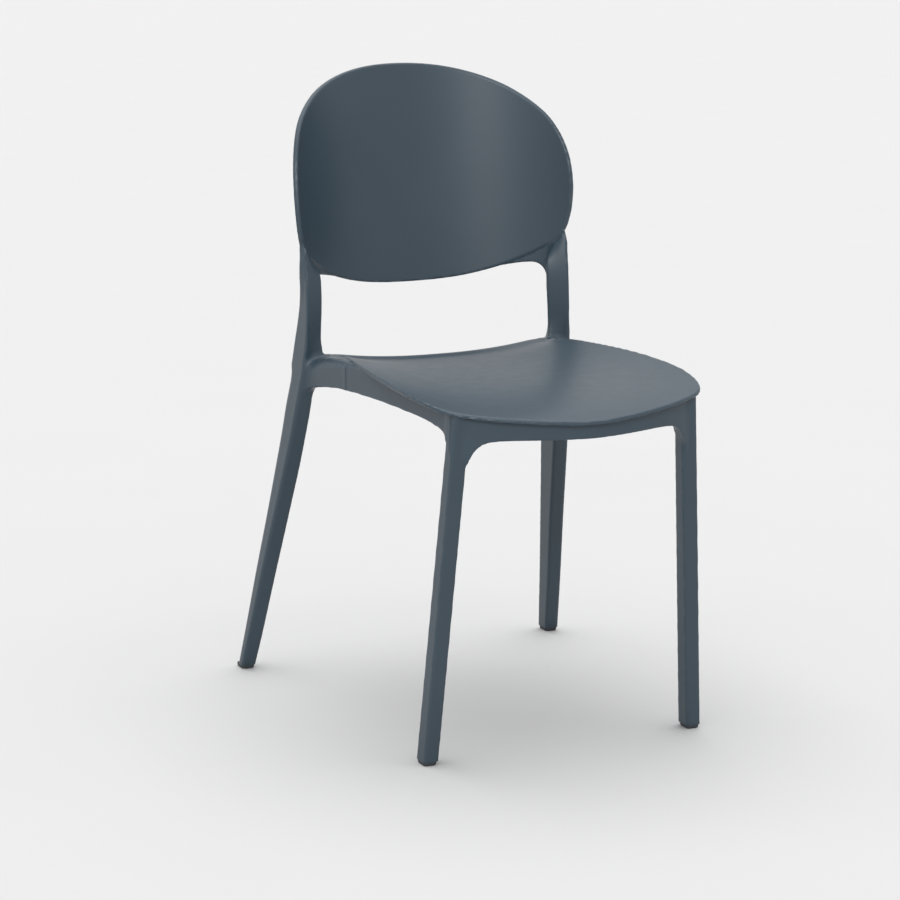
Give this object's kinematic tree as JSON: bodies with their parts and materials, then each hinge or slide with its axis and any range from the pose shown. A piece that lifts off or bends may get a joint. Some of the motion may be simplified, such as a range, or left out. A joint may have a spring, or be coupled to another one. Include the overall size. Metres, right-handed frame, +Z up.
{
  "type": "stacking chair",
  "caption": "Stacking side chair with a wraparound oval backrest, dished seat with a rounded front, slim splayed legs and pads under the feet.",
  "frame": {"origin": "on the floor, below the centre of the chair's overall length and width", "axes": "the chair faces -Y, +Z is up, X runs across the seat with +X on the sitter's left"},
  "size_m": [0.4806, 0.5901, 0.8095],
  "materials": {
    "shell_plastic": "fine-grained matte polypropylene, slate blue",
    "glide_plastic": "dark grey, slightly soft",
    "steel_fixings": "zinc-plated",
    "insert_brass": "turned"
  },
  "bodies": {
    "root": {"back_frame": "shell_plastic", "seat_frame": "shell_plastic", "glide_front_left": "glide_plastic", "glide_front_right": "glide_plastic", "glide_rear_left": "glide_plastic", "glide_rear_right": "glide_plastic", "joint_bolts": "steel_fixings", "joint_washers": "steel_fixings", "joint_inserts": "insert_brass", "rear_seat_screws": "steel_fixings"}
  },
  "joints": []
}
